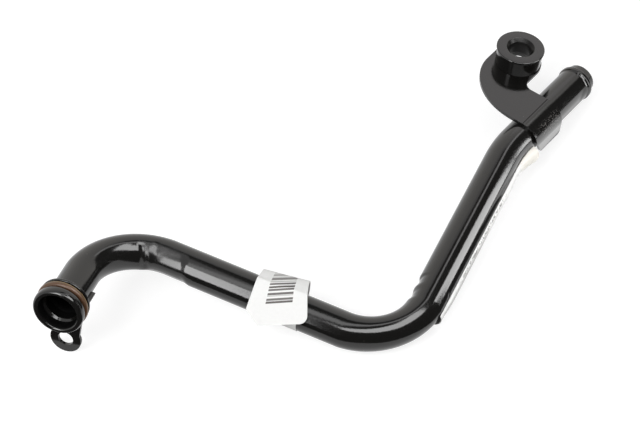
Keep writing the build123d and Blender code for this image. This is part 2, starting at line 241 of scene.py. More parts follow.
# Grey of the painted shade on the strip's lower stretch
SHADE_BAND_TONE = (0.38, 0.38, 0.37)
OUTLINE_TONE = (0.55, 0.55, 0.54)
SPECK_TONE = (0.30, 0.30, 0.29)
# Beige of the saddle bracket's painted shadow on the strip
BRACKET_SHADOW_TONE = (0.80, 0.77, 0.71)
SPECKS_GRAIN, SPECKS_RISE = 0.9, (0.48, 0.54)
FIBRE_SCALE = 700
FIBRE_RELIEF = 0.15
PAPER_ROUGHNESS = 0.55
BUMP_DISTANCE = 0.0001

# Camera at the photograph's viewing angle
CAMERA_PLACE = (0.27166, -0.64243, 0.79850)
CAMERA_ELEVATION = 48.76
CAMERA_AZIMUTH = 23.26
CAMERA_LENS = 132.23

# Studio: level of the world on matt surfaces; each lamp's place, size and power; glow and
# tint of what the gloss shows; and the floor's tone, and its lift where it is seen
WORLD_LEVEL = 0.56
LAMPS = (
    ("key_lamp", (-0.5, -1.0, 1.2), 0.9, 14.0),
    ("side_lamp", (1.3, -0.1, 0.45), 0.9, 9.0),
)
FRONT_GLOW = 10.0
RIGHT_GLOW = 9.5
OVER_GLOW = 8.0
THIN_GLOW = 3.0
LEG_GLOW = 2.2
PLATE_GLOW, PLATE_TINT = 1.55, (1, 0.97, 0.97)
WALL_GLOW, WALL_TINT = 1.25, (1, 0.975, 0.94)
DARK_LEVEL = 0.08
FLOOR_HALF = 6.0
FLOOR_TONE = 0.38
FLOOR_LIFT = 0.74

# What the gloss shows of the studio. The dark room and the back wall lie on spheres round
# the object, between a level rim and an edge of (azimuth, elevation) in degrees.
ROOM_EDGE = (
    (-60, 84), (-40, 78), (-20, 60), (0, 54), (20, 50), (27, 40), (31, 32), (38, 22), (44, 6),
    (48, 0), (60, 0), (90, 0), (120, 0), (157, 0), (180, 0), (195, 0),
)
ROOM_RIM, ROOM_REACH = 90, 2.5
WALL_EDGE = ((-90, 40), (-60, 50), (-40, 52), (-20, 52), (0, 48), (20, 42), (40, 30), (50, 20))
WALL_RIM, WALL_REACH = -1, 2.6
DOME_ROWS = 6

# Upright cards: two places on the floor's plan, a bottom and a top
FRONT_LAMP = ((-0.42, -0.85), (-0.11, -0.85), 0.12, 1.15)
RIGHT_LAMP = ((0.262, 0.09), (0.268, 0.19), 0.002, 0.185)
PLATE_CARD = ((-0.01, 0.25), (0.08, 0.25), 0.112, 0.19)
DARK_SCREEN = ((0.034, 0.03), (0.034, -0.052), 0.0, 0.085)
SADDLE_SHADE = ((0.092, 0.1), (0.092, 0.0775), 0.016, 0.05)

# Level cards: two edges on the floor's plan, of as many places, and a height
THIN_LAMP = (((-0.30, -0.8), (-0.16, -0.84)), ((0.32, 1.1), (0.46, 1.06)), 1.0)
LEG_CARD = (((0.0755, 0.062), (0.0865, 0.111)), ((0.13, 0.05), (0.15, 0.15)), 0.001)
OVER_LAMP = (
    ((0.0, -0.66), (0.13, -0.52), (0.30, -0.30), (0.38, -0.12), (0.47, 0.1), (0.36, 0.3), (0.31, 0.44)),
    ((0.0, -0.95), (0.22, -0.95), (0.8, -0.75), (1.25, -0.45), (1.25, -0.1), (1.2, 0.2), (1.15, 0.42)),
    1.1,
)
TABLE_INNER = (
    (-0.6, -0.9), (-0.14, -0.2), (-0.1, -0.121), (-0.05, -0.121), (-0.045, -0.105), (0.06, -0.1),
    (0.079, -0.06), (0.08, 0.045), (0.15, 0.065), (0.19, 0.13), (0.25, 1.2),
)
TABLE_OUTER = (
    (-0.6, -3), (-0.5, -3), (-0.3, -3), (-0.1, -3), (0, -3), (1.5, -3), (3, -1.5), (3, 0), (3, 0.3),
    (3, 0.6), (3, 1.2),
)
DARK_TABLE = (TABLE_INNER, TABLE_OUTER, 0.0005)


def unit(vector):
    """Vector of length one."""
    return vector / np.linalg.norm(vector)


def turned(vectors, axis, angles):
    """Vectors turned about a unit axis through the origin, one angle for each row.

    Each is its part along the axis, plus its other part times the cosine, plus the
    cross product with the axis times the sine.
    """
    angles = np.asarray(angles)[:, None]
    along = (vectors @ axis)[:, None] * axis
    return along + (vectors - along) * np.cos(angles) + np.cross(axis, vectors) * np.sin(angles)


class Route:
    """Centreline of straight runs joined by tangent arcs, with a frame that never twists."""

    def __init__(self, corners, radii):
        """Lay the runs and arcs one after the other.

        A run stops short of its corner by the radius times the tangent of half the turn.
        """
        self.parts = []
        place = corners[0]
        across = None
        length = 0.0
        for number, radius in enumerate(radii, start=1):
            come = unit(corners[number] - corners[number - 1])
            go = unit(corners[number + 1] - corners[number])
            turn = np.arccos(come @ go)
            setback = radius * tan(turn / 2)
            start = corners[number] - come * setback
            if across is None:
                across = -unit(np.array([0, 0, 1]) - come * come[2])
            run = np.linalg.norm(start - place)
            self.parts.append((length, length + run, place, come, across, None))
            length += run
            normal = unit(np.cross(come, go))
            centre = start + np.cross(normal, come) * radius
            bend = (centre, normal, turn, number - 1)
            self.parts.append((length, length + radius * turn, start, come, across, bend))
            across = turned(across[None], normal, [turn])[0]
            length += radius * turn
            place = corners[number] + go * setback
        come = unit(corners[-1] - place)
        run = np.linalg.norm(corners[-1] - place)
        self.parts.append((length, length + run, place, come, across, None))
        self.length = length + run

    def bend_span(self, number):
        """Distances at which a bend starts and ends, counted from the mouth."""
        part = self.parts[2 * number + 1]
        return part[0], part[1]

    def frames(self, distances):
        """Place, direction, two cross vectors, bend number, share and outward vector.

        On a run the place is its start plus the direction times the distance. On a bend
        everything is turned about the bend's axis by the share of the turn so far.
        """
        count = len(distances)
        place, way, first = np.zeros((3, count, 3))
        outward = np.zeros((count, 3))
        number = np.full(count, -1)
        share = np.zeros(count)
        for start, end, origin, come, across, bend in self.parts:
            last = end == self.length
            here = (distances >= start) & ((distances < end) | last)
            if start == 0.0:
                here |= distances < 0
            rest = distances[here] - start
            if bend is None:
                place[here] = origin + rest[:, None] * come
                way[here] = come
                first[here] = across
                continue
            centre, normal, turn, index = bend
            part = rest / (end - start)
            angles = part * turn
            arm = np.repeat((origin - centre)[None], len(rest), axis=0)
            place[here] = centre + turned(arm, normal, angles)
            way[here] = turned(np.repeat(come[None], len(rest), axis=0), normal, angles)
            first[here] = turned(np.repeat(across[None], len(rest), axis=0), normal, angles)
            outward[here] = turned(unit(origin - centre)[None].repeat(len(rest), 0), normal, angles)
            number[here] = index
            share[here] = part
        return place, way, first, np.cross(way, first), number, share, outward


ROUTE = Route([SPIGOT_MOUTH, CORNER_1, CORNER_2, CORNER_3, HOSE_TIP], BEND_RADII)


def rounded(points, rounds, steps=7):
    """Outline through (distance, radius) points, with chosen corners turned into arcs.

    An arc's centre lies on the bisector of its corner, and the arc touches both sides.
    """
    points = np.asarray(points, float)
    outline = []
    for number, corner in enumerate(points):
        size = rounds.get(number)
        if size is None:
            outline.append(corner[None])
            continue
        back = unit(points[number - 1] - corner)
        ahead = unit(points[number + 1] - corner)
        half = np.arccos(np.clip(back @ ahead, -1, 1)) / 2
        centre = corner + unit(back + ahead) * size / np.sin(half)
        start = corner + back * size / np.tan(half) - centre
        end = corner + ahead * size / np.tan(half) - centre
        sweep = np.arctan2(start[0] * end[1] - start[1] * end[0], start @ end)
        angles = np.linspace(0, sweep, steps)
        cos, sin = np.cos(angles), np.sin(angles)
        arc = np.stack([start[0] * cos - start[1] * sin, start[0] * sin + start[1] * cos], -1)
        outline.append(centre + arc)
    return np.concatenate(outline)


def bell(value, middle, half):
    """Smooth bump of height one: the cosine of the distance, squared, out to the half width."""
    near = np.clip(np.abs(value - middle) / half, 0, 1)
    return np.cos(near * np.pi / 2) ** 2


def ramp(value, start, end):
    """Smooth rise from zero to one between two values: three squares less two cubes."""
    share = np.clip((value - start) / (end - start), 0, 1)
    return share * share * (3 - 2 * share)


def plateau(value, rise, fall):
    """One between two flanks, each as where it starts and is full: a ramp times a ramp."""
    return ramp(value, *rise) * ramp(value, *fall)


def full_turn(sides):
    """Equal angles round a full turn, one for each side."""
    return np.linspace(0, 2 * np.pi, sides, endpoint=False)


def link(piece):
    """Put a piece in the scene."""
    bpy.context.scene.collection.objects.link(piece)
    return piece


def grid_mesh(name, points, closed=False, smooth=True, flip=False):
    """Mesh of quads on a grid of points, closed along its rows and its columns where asked.

    The faces look out along the cross product of a column step and a row step, or the
    other way where flip is set.
    """
    rows, columns = points.shape[:2]
    index = np.arange(rows * columns).reshape(rows, columns)
    if closed:
        index = np.pad(index, ((0, 1), (0, 1)), mode="wrap")
    quads = np.stack([index[:-1, :-1], index[1:, :-1], index[1:, 1:], index[:-1, 1:]], -1)
    mesh = bpy.data.meshes.new(name)
    mesh.from_pydata(points.reshape(-1, 3).tolist(), [], quads.reshape(-1, 4).tolist())
    mesh.validate()
    if flip:
        mesh.flip_normals()
    if smooth:
        mesh.shade_smooth()
    return link(bpy.data.objects.new(name, mesh))


def give_values(piece, name, values):
    """Write one number for each point of a piece into a named attribute."""
    piece.data.attributes.new(name, "FLOAT", "POINT").data.foreach_set("value", values)


def second_paint(piece, finish, faces):
    """A second paint on the faces where the mask is true."""
    piece.data.materials.append(finish)
    piece.data.polygons.foreach_set("material_index", faces.astype(int))


def dress(piece, finish, slot, *nodes):
    """Material, body and the CAD nodes that the piece stands for. The slot is not used."""
    piece.data.materials.clear()
    piece.data.materials.append(finish)
    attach(piece, "root")
    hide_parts(*nodes)


def to_frame(points, node):
    """Shift from the middle of the points' box to the middle of the CAD node's box."""
    low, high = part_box(node)
    flat = points.reshape(-1, 3)
    middle = (flat.min(0) + flat.max(0)) / 2
    return (np.array(low) + np.array(high)) / 2 - middle


def swept(profile, angles, pressed=0.0):
    """Points of a profile of (distance, radius) carried along the route and round it.

    A pressed depth is taken off the radius. In a tight bend the section is an ellipse. Its
    squeeze is the bend's flattening times the sine of pi times the share of the turn: the
    outer side moves in by it, the inner side stays, and the section spreads across it.
    """
    place, way, first, second, number, share, outward = ROUTE.frames(profile[:, 0])
    ring = np.cos(angles)[None, :, None] * first[:, None]
    ring = ring + np.sin(angles)[None, :, None] * second[:, None]
    squeeze = np.sin(np.pi * share) * np.where(number >= 0, BEND_FLATTENING[number], 0.0)
    drawn_in = squeeze[:, None] / 2
    spread = BEND_SPREAD * (squeeze / BEND_FLATTENING.max())[:, None]
    side_way = np.cross(way, outward)
    out = np.einsum("rcx,rx->rc", ring, outward)
    side = np.einsum("rcx,rx->rc", ring, side_way)
    points = place[:, None] + (profile[:, 1:] - pressed)[:, :, None] * ring
    points -= (drawn_in * (out + 1))[:, :, None] * outward[:, None]
    points += (spread * side)[:, :, None] * side_way[:, None]
    return points


def nose_bead(start, end, steps):
    """(distance, radius) over the rolled bead, between two angles counted from its bore.

    The bead's section is a superellipse: the powers of the cosine and sine are under one,
    which makes the oval fuller.
    """
    angles = np.radians(np.linspace(start, end, steps))
    half_width = (NOSE_R - MOUTH_R) / 2
    power = 2 / BEAD_FULLNESS
    along = np.sign(np.sin(angles)) * np.abs(np.sin(angles)) ** power
    across = np.sign(np.cos(angles)) * np.abs(np.cos(angles)) ** power
    return np.stack([NOSE_LENGTH / 2 * (1 - along), MOUTH_R + half_width * (1 - across)], -1)


def spigot_outside():
    """(distance, radius) from the lip over the bead, the groove and the collar."""
    points = [
        (NOSE_LENGTH, (NOSE_R + MOUTH_R) / 2), (NOSE_LENGTH, GROOVE_R), (GROOVE_END, GROOVE_R),
        (GROOVE_END, COLLAR_R), (COLLAR_END, COLLAR_R), (COLLAR_END, TUBE_R),
        (COLLAR_END + NECK_ROUND + END_RUN, TUBE_R),
    ]
    rounds = {1: GROOVE_ROUND, 2: GROOVE_ROUND, 3: GROOVE_ROUND, 4: COLLAR_ROUND, 5: NECK_ROUND}
    return np.concatenate([nose_bead(90, 270, BEAD_STEPS)[:-1], rounded(points, rounds)])


def spigot_inside():
    """(distance, radius) from the tube's bore through the waist and the step to the lip."""
    shoulder = NOSE_LENGTH - SHOULDER_LEAD
    neck_end = COLLAR_END + NECK_ROUND
    points = [
        (neck_end + END_RUN, TUBE_R - WALL), (neck_end, TUBE_R - WALL), (COLLAR_END, WAIST_R),
        (shoulder + SHOULDER_SLOPE, WAIST_R), (shoulder, MOUTH_R), (NOSE_LENGTH / 2, MOUTH_R),
    ]
    step = rounded(points, {2: WAIST_ROUND, 3: WAIST_ROUND, 4: WAIST_ROUND})
    return np.concatenate([step[:-1], nose_bead(0, 90, LIP_STEPS)[:-1]])


def hose_outside():
    """(distance, radius) over the hose bead and the reduced tip to the tip's edge."""
    end = ROUTE.length
    bead_back = end - BEAD_SETBACK - BEAD_WIDTH / 2
    bead_front = end - BEAD_SETBACK + BEAD_WIDTH / 2
    points = [
        (bead_back - END_RUN, TUBE_R), (bead_back, TUBE_R), (bead_back + BEAD_ROUND, BEAD_R),
        (bead_front - BEAD_ROUND, BEAD_R), (bead_front, TIP_R), (end, TIP_R - TIP_TAPER),
        (end, TIP_R - WALL + TIP_BEVEL),
    ]
    return rounded(points, {2: BEAD_ROUND, 3: BEAD_ROUND, 4: TIP_STEP_ROUND, 5: TIP_ROUND})


def hose_inside():
    """(distance, radius) from the tip's inner edge back to the tube's bore."""
    end = ROUTE.length
    bead_middle = end - BEAD_SETBACK
    return np.array([
        (end - TIP_BEVEL, TIP_R - WALL), (bead_middle + BEAD_WIDTH / 2, TIP_R - WALL),
        (bead_middle, TUBE_R - WALL), (bead_middle - BEAD_WIDTH / 2 - END_RUN, TUBE_R - WALL),
    ])


def tube_stations(start, end):
    """Distances along the tube, close together in the bends and at marks, else wide."""
    stops = [np.linspace(start, end, ROUTE_STATIONS)]
    for number, count in enumerate(BEND_STATIONS):
        stops.append(np.linspace(*ROUTE.bend_span(number), count))
    for stretch in MARKED_RUNS:
        stops.append(np.linspace(*stretch, MARKED_STATIONS))
    stops = np.unique(np.concatenate(stops))
    return stops[(stops > start) & (stops < end)]


def tube_profile():
    """Closed outline of the tube's wall, outside then inside, and the rows of its bore."""
    outside_start, outside_end = spigot_outside(), hose_outside()
    inside_start, inside_end = spigot_inside(), hose_inside()
    middle = tube_stations(outside_start[-1, 0], outside_end[0, 0])
    outside = np.stack([middle, np.full(len(middle), TUBE_R)], -1)
    sparse = middle[::-BORE_STRIDE]
    inside = np.stack([sparse, np.full(len(sparse), TUBE_R - WALL)], -1)
    profile = np.concatenate([outside_start, outside, outside_end, inside_end, inside, inside_start])
    bore_start = len(outside_start) + len(outside) + len(outside_end)
    return profile, (bore_start, len(profile) - LIP_ROWS)


def die_marks(distance, angles):
    """Depths pressed into the tube by the bending die, over distance and angle.

    Each mark is a bump along the tube times a bump round it. The first bend has a deep and
    a light crease across its inner side, then a bed of two flats, one deeper than the other,
    with a vale along it. The second has a notch at its far end, and on the other side a
    recess with a bridge across it.
    """
    along = distance[:, None] / MM
    around = np.degrees(angles)[None]
    crease = along - (around - CREASE_TURN) * CREASE_LEAN
    deep, middle, sides = DEEP_CREASE
    depth = deep * bell(crease, *middle) * plateau(around, *sides)
    deep, middle, side = LIGHT_CREASE
    depth = depth + deep * bell(crease, *middle) * bell(around, *side)
    bed = ramp(along, *BED_START) * ramp(along - (around - BED_TURN) * CREASE_LEAN, *BED_END)
    lowered = sum(deep * ramp(around, *side) for deep, side in BED_STEPS)
    depth = depth + bed * lowered * ramp(around, *BED_LOW_SIDE)
    deep, middle, ends = VALE
    vale = bell(around + (along - VALE_PLACE) * VALE_SLOPE, *middle)
    depth = depth + deep * vale * plateau(along, *ends)
    deep, middle, side = NOTCH
    notch = bell(along + (around - NOTCH_TURN) * NOTCH_LEAN, *middle)
    depth = depth + deep * notch * bell(around, *side)
    deep, ends, side = RECESS
    recess = plateau(along, *ends) * bell(around, *side)
    lift, bridge = RECESS_BRIDGE
    return (depth + deep * recess * (1 - lift * bell(along, *bridge))) * MM


def worked_skin(distance, angles):
    """Share of scuffed skin over distance and angle.

    It is full on the die's bed inside the first bend, and light on the curve before it.
    """
    along = distance[:, None] / MM
    around = np.degrees(angles)[None]
    leaning = along - (around - BED_TURN) * CREASE_LEAN
    bed = ramp(along, *SCUFFED_START) * ramp(leaning, *SCUFFED_END)
    share, ends = SCUFFED_CURVE
    return np.maximum(bed, share * plateau(along, *ends)) * plateau(around, *SCUFFED_SIDES)


def make_tube(profile, bore, shift, paint, bore_paint):
    """The bent tube with its spigot and hose end, one closed skin, dark and dull inside as painted shade
    but for a glossy step.
    """
    angles = full_turn(TUBE_SIDES)
    depth = die_marks(profile[:, 0], angles)
    bore_start, bore_end = bore
    depth[bore_start:] = 0
    piece = grid_mesh("tube_skin", swept(profile, angles, depth) + shift, closed=True, flip=True)
    dress(piece, paint, "tube_paint", "pipe_tube")
    row = np.arange(len(piece.data.polygons)) // TUBE_SIDES
    inside = (row >= bore_start) & (row < bore_end)
    step = (row >= bore_end - MOUTH_ROWS - STEP_ROWS) & (row < bore_end - MOUTH_ROWS)
    # All of the bore but the step gets the near-black, dull paint of painted shade
    second_paint(piece, bore_paint, inside & ~step)
    give_values(piece, "worked", worked_skin(profile[:, 0], angles).ravel())


def make_ring(finish, shift):
    """The O-ring: a round section carried round the groove, with a valley at its crest."""
    middle = NOSE_LENGTH + GROOVE_WIDTH / 2
    ring_r = GROOVE_R + RING_PLAY + CORD_R
    around = full_turn(CORD_SIDES)
    cord = CORD_R - VALLEY_DEPTH * bell(around, np.pi / 2, VALLEY_HALF)
    profile = np.stack([middle - cord * np.cos(around), ring_r + cord * np.sin(around)], -1)
    piece = grid_mesh("seal_ring", swept(profile, full_turn(TURNED_SIDES)) + shift, closed=True, flip=True)
    # Place across the cord, over which the rubber's colour carries painted shade and painted light
    give_values(piece, "side", np.repeat((1 - np.cos(around)) / 2, TURNED_SIDES))
    dress(piece, finish, "seal_rubber", "o_ring")


def make_boss(finish, bore_finish, shift):
    """The boss: a closed outline of (radius, height) turned about its own axis."""
    out, way, up = saddle_axes()
    base = HOSE_TIP + shift + out * BOSS_OFFSET - way * BOSS_SETBACK + up * (TUBE_R + SHEET)
    under = BOSS_HEIGHT - BOSS_RIM
    corners = [
        (BOSS_BORE_R, 0), (BOSS_R, 0), (BOSS_R, under - BOSS_RIM_R + BOSS_R), (BOSS_RIM_R, under),
        (BOSS_RIM_R, BOSS_HEIGHT), (BOSS_BORE_R + BOSS_CHAMFER, BOSS_HEIGHT),
        (BOSS_BORE_R, BOSS_HEIGHT - BOSS_CHAMFER), (BOSS_BORE_R, BOSS_CHAMFER),
    ]
    outline = rounded(corners, {
        1: BOSS_EDGE_ROUND, 2: BOSS_NECK_ROUND, 3: BOSS_EDGE_ROUND, 4: BOSS_TOP_ROUND,
        5: BOSS_BORE_ROUND, 6: BOSS_BORE_ROUND,
    })
    radius, height = outline.T[:, :, None, None]
    angles = full_turn(TURNED_SIDES)
    ring = np.cos(angles)[:, None] * out + np.sin(angles)[:, None] * way
    piece = grid_mesh("boss_sleeve", base + radius * ring[None] + height * up, closed=True)
    dress(piece, finish, "boss_paint", "bolt_boss")
    inner = outline[:, 0] < BOSS_BORE_R + BOSS_CHAMFER - BOSS_PAINT_EDGE
    second_paint(piece, bore_finish, np.repeat(inner & np.roll(inner, -1), TURNED_SIDES))


def saddle_axes():
    """Directions out to the boss, along the tube and off its top, at the saddle bracket."""
    way = unit(HOSE_TIP - CORNER_3)
    upright = unit(np.array([0, 0, 1]) - way * way[2])
    up = turned(upright[None], way, [radians(SADDLE_LEAN)])[0]
    return np.cross(up, way), way, up


def press_fold(shape, shift):
    """Shallow pressed line where the arm leaves the tube: cuts beside it, its middle lowered."""
    out, _, up = saddle_axes()
    line = Vector(HOSE_TIP + shift)
    side = Vector(out)
    for step in (-FOLD_HALF, 0, FOLD_HALF):
        whole = shape.verts[:] + shape.edges[:] + shape.faces[:]
        place = line + side * step
        bmesh.ops.bisect_plane(shape, geom=whole, dist=CUT_DISTANCE, plane_co=place, plane_no=side)
    for vert in shape.verts:
        offset = np.array(vert.co - line)
        if abs(offset @ out) < FOLD_HALF / 2 and offset @ up > TUBE_R + SHEET / 2:
            vert.co -= Vector(up) * FOLD_DEPTH


def soft_edged(name, node, width, finish, slot, fold_shift=None):
    """Merged copy of a CAD piece with its edges rounded a little, as pressed sheet is."""
    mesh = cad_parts[node].data.copy()
    shape = bmesh.new()
    shape.from_mesh(mesh)
    bmesh.ops.remove_doubles(shape, verts=shape.verts, dist=MERGE_DISTANCE)
    bmesh.ops.dissolve_limit(shape, angle_limit=radians(FLAT_ANGLE), verts=shape.verts, edges=shape.edges)
    if fold_shift is not None:
        press_fold(shape, fold_shift)
    shape.to_mesh(mesh)
    shape.free()
    mesh.shade_smooth()
    piece = link(bpy.data.objects.new(name, mesh))
    edges = piece.modifiers.new("edges", "BEVEL")
    edges.width = width
    edges.segments = 3
    edges.limit_method = "ANGLE"
    edges.angle_limit = radians(EDGE_ANGLE)
    flats = piece.modifiers.new("flats", "WEIGHTED_NORMAL")
    flats.weight = 100
    dress(piece, finish, slot, node)


def feed(tree, node, inputs):
    """Link a node's inputs to other nodes' outputs, or set them to plain values.

    An input is called by its name or its number, and a colour is given without its alpha.
    """
    for name, value in inputs.items():
        socket = node.inputs[name]
        if isinstance(value, bpy.types.NodeSocket):
            tree.links.new(value, socket)
        elif socket.type == "RGBA":
            socket.default_value = (*value, 1)
        else:
            socket.default_value = value


def new_node(tree, kind, inputs=None):
    """Node of a kind, fed with its inputs."""
    node = tree.nodes.new(kind)
    feed(tree, node, inputs or {})
    return node


def new_material(name):
    """Material with its node tree and its one shader."""
    material = bpy.data.materials.new(name)
    material.use_nodes = True
    return material, material.node_tree, material.node_tree.nodes["Principled BSDF"]


def new_group(name, numbers, results):
    """Empty node group over a place and named numbers, with its inputs and its end node."""
    group = bpy.data.node_groups.new(name, "ShaderNodeTree")
    group.interface.new_socket("Place", in_out="INPUT", socket_type="NodeSocketVector")
    for label in numbers:
        group.interface.new_socket(label, in_out="INPUT", socket_type="NodeSocketFloat")
    for label, kind in results.items():
        group.interface.new_socket(label, in_out="OUTPUT", socket_type=kind)
    return group, new_node(group, "NodeGroupInput").outputs, new_node(group, "NodeGroupOutput")


def place_group(tree, group, numbers):
    """Outputs of a node group that a material holds over its Object coordinates."""
    node = tree.nodes.new("ShaderNodeGroup")
    node.node_tree = group
    feed(tree, node, {"Place": new_node(tree, "ShaderNodeTexCoord").outputs["Object"], **numbers})
    return node.outputs


def work_out(tree, operation, *values):
    """Output of a math node fed by sockets or by plain numbers."""
    node = tree.nodes.new("ShaderNodeMath")
    node.operation = operation
    feed(tree, node, dict(enumerate(values)))
    return node.outputs[0]


def noise(tree, place, scale, detail=2.0):
    """Cloudy noise over a place, about a half."""
    inputs = {"Vector": place, "Scale": scale, "Detail": detail}
    return new_node(tree, "ShaderNodeTexNoise", inputs).outputs["Fac"]


def rise(tree, value, start, end):
    """Straight rise from zero where a value is at the start to one where it is at the end."""
    inputs = {"Value": value, "From Min": start, "From Max": end}
    return new_node(tree, "ShaderNodeMapRange", inputs).outputs["Result"]


def between(tree, value, low, high, soft):
    """Mask that is one between two values, with soft flanks of the given width."""
    return work_out(
        tree, "MULTIPLY", rise(tree, value, low - soft, low), rise(tree, value, high + soft, high)
    )


def within(tree, *limits):
    """Mask that is one where each value is between its limits: the product of their masks."""
    mask, *others = [between(tree, value, *ends) for value, ends in limits]
    for other in others:
        mask = work_out(tree, "MULTIPLY", mask, other)
    return mask


def mixed(tree, mask, first, second):
    """Colour between two others, by a mask; either may be a socket or a plain colour."""
    node = tree.nodes.new("ShaderNodeMix")
    node.data_type = "RGBA"
    sockets = {socket.identifier: number for number, socket in enumerate(node.inputs)}
    feed(tree, node, {"Factor": mask, sockets["A_Color"]: first, sockets["B_Color"]: second})
    return next(socket for socket in node.outputs if socket.identifier == "Result_Color")


def colour_row(tree, value, stops, stepped=False):
    """Colour over a value, by (place, colour) stops from low to high."""
    node = new_node(tree, "ShaderNodeValToRGB", {"Fac": value})
    if stepped:
        node.color_ramp.interpolation = "CONSTANT"
    elements = node.color_ramp.elements
    for element, (place, colour) in zip(elements, stops):
        element.position = place
        element.color = (*colour, 1)
    for place, colour in stops[len(elements):]:
        elements.new(place).color = (*colour, 1)
    return node.outputs["Color"]


def bumpy(tree, height, strength):
    """Normal of a surface with a fine relief."""
    inputs = {"Height": height, "Strength": strength, "Distance": BUMP_DISTANCE}
    return new_node(tree, "ShaderNodeBump", inputs).outputs["Normal"]


def own_axes(tree, origin, first, second, third):
    """Object coordinates measured from a place along three directions, in millimetres."""
    rows = np.array([first, second, third])
    mapping = new_node(tree, "ShaderNodeMapping", {
        "Vector": new_node(tree, "ShaderNodeTexCoord").outputs["Object"],
        "Rotation": Matrix(rows.tolist()).to_euler(),
        "Location": -(rows @ origin) / MM,
        "Scale": (1 / MM, 1 / MM, 1 / MM),
    })
    place = mapping.outputs["Vector"]
    return place, new_node(tree, "ShaderNodeSeparateXYZ", {"Vector": place}).outputs


def fine_bumps():
    """Node group of sprayed paint: soft dimples, tiny specks of dust and a wide cloud.

    Dimples and cloud are noises. The specks are the nearest surroundings of the points of
    a Voronoi pattern.
    """
    results = dict.fromkeys(("Height", "Specks", "Cloud"), "NodeSocketFloat")
    group, given, end = new_group("fine_bumps", ("Dimple Scale", "Speck Scale"), results)
    inputs = {"Vector": given["Place"], "Scale": given["Speck Scale"]}
    points = new_node(group, "ShaderNodeTexVoronoi", inputs)
    feed(group, end, {
        "Height": noise(group, given["Place"], given["Dimple Scale"]),
        "Specks": rise(group, points.outputs["Distance"], *SPECK_RIM),
        "Cloud": noise(group, given["Place"], CLOUD_SCALE, detail=4.0),
    })
    return group


def paper_fibres():
    """Node group of paper: a fine noise as the fibres' shade, and the normal it makes."""
    results = {"Shade": "NodeSocketFloat", "Normal": "NodeSocketVector"}
    group, given, end = new_group("paper_fibres", ("Scale",), results)
    shade = noise(group, given["Place"], given["Scale"], detail=5.0)
    feed(group, end, {"Shade": shade, "Normal": bumpy(group, shade, FIBRE_RELIEF)})
    return group


def black_paint(name, bumps, rough=PAINT_ROUGHNESS, shine=PAINT_SHINE):
    """Glossy black paint over steel, with faint dimples, cloudy gloss and specks of dust.

    The roughness swings with the cloud, and grows with it where the skin is worked.
    """
    material, tree, shader = new_material(name)
    surface = place_group(tree, bumps, {"Dimple Scale": DIMPLE_SCALE, "Speck Scale": SPECK_SCALE})
    worked = new_node(tree, "ShaderNodeAttribute")
    worked.attribute_name = "worked"
    gloss = work_out(tree, "MULTIPLY_ADD", surface["Cloud"], GLOSS_SWING, rough - GLOSS_SWING / 2)
    scuffed = work_out(tree, "MULTIPLY", worked.outputs["Fac"], surface["Cloud"])
    feed(tree, shader, {
        "Base Color": mixed(tree, surface["Specks"], PAINT, PAINT_SPECK),
        "Roughness": work_out(tree, "MULTIPLY_ADD", scuffed, WORKED_ROUGHNESS, gloss),
        "IOR": PAINT_IOR,
        "Specular IOR Level": shine,
        "Normal": bumpy(tree, surface["Height"], PAINT_RELIEF),
    })
    return material


def saddle_marks(material, shift):
    """Pressed line beside the arm and a scuffed patch in the saddle's paint.

    Measured from the tip out along the arm and back along the tube. The line takes the
    shine away over a narrow width. The patch is a fine noise in the colour.
    """
    tree = material.node_tree
    shader = tree.nodes["Principled BSDF"]
    out, way, _ = saddle_axes()
    place, parts = own_axes(tree, HOSE_TIP + shift, out, -way, -np.cross(out, way))
    line = within(tree, (parts["X"], FOLD_OUT), (parts["Y"], FOLD_BACK), (parts["Z"], FOLD_UP))
    patch = within(tree, (parts["X"], SCUFF_OUT), (parts["Y"], SCUFF_BACK))
    grain = rise(tree, noise(tree, place, SCUFF_GRAIN, detail=3.0), *SCUFF_RISE)
    scuff = work_out(tree, "MULTIPLY", grain, patch)
    before = shader.inputs["Base Color"].links[0].from_socket
    feed(tree, shader, {
        "Base Color": mixed(tree, scuff, before, PAINT_SCUFF),
        "Specular IOR Level": work_out(tree, "MULTIPLY_ADD", line, FOLD_SHINE - PAINT_SHINE, PAINT_SHINE),
    })


def seal_rubber():
    """Satin rubber with painted shade and light: darker red brown to the mouth, lighter olive brown to the
    collar.
    """
    material, tree, shader = new_material("seal_rubber")
    side = new_node(tree, "ShaderNodeAttribute")
    side.attribute_name = "side"
    tone = colour_row(tree, side.outputs["Fac"], RUBBER_LIT_AND_SHADED_TONES)
    feed(tree, shader, {"Base Color": tone, "Roughness": RUBBER_ROUGHNESS})
    return material


def bore_painted_shade():
    """Painted shade inside the tube: near-black paint with hardly any shine, its tone a fine noise."""
    material, tree, shader = new_material("bore_paint")
    grain = noise(tree, new_node(tree, "ShaderNodeTexCoord").outputs["Object"], BORE_GRAIN)
    feed(tree, shader, {
        "Base Color": mixed(tree, grain, *BORE_SHADE_TONES),
        "Roughness": BORE_ROUGHNESS,
        "Specular IOR Level": BORE_SHINE,
    })
    return material


def new_paper(name, fibres, tones):
    """Matt paper with faint fibres; gives the paper's colour too, for print to go over."""
    material, tree, shader = new_material(name)
    surface = place_group(tree, fibres, {"Scale": FIBRE_SCALE})
    feed(tree, shader, {"Roughness": PAPER_ROUGHNESS, "Normal": surface["Normal"]})
    return material, tree, shader, mixed(tree, surface["Shade"], *tones)


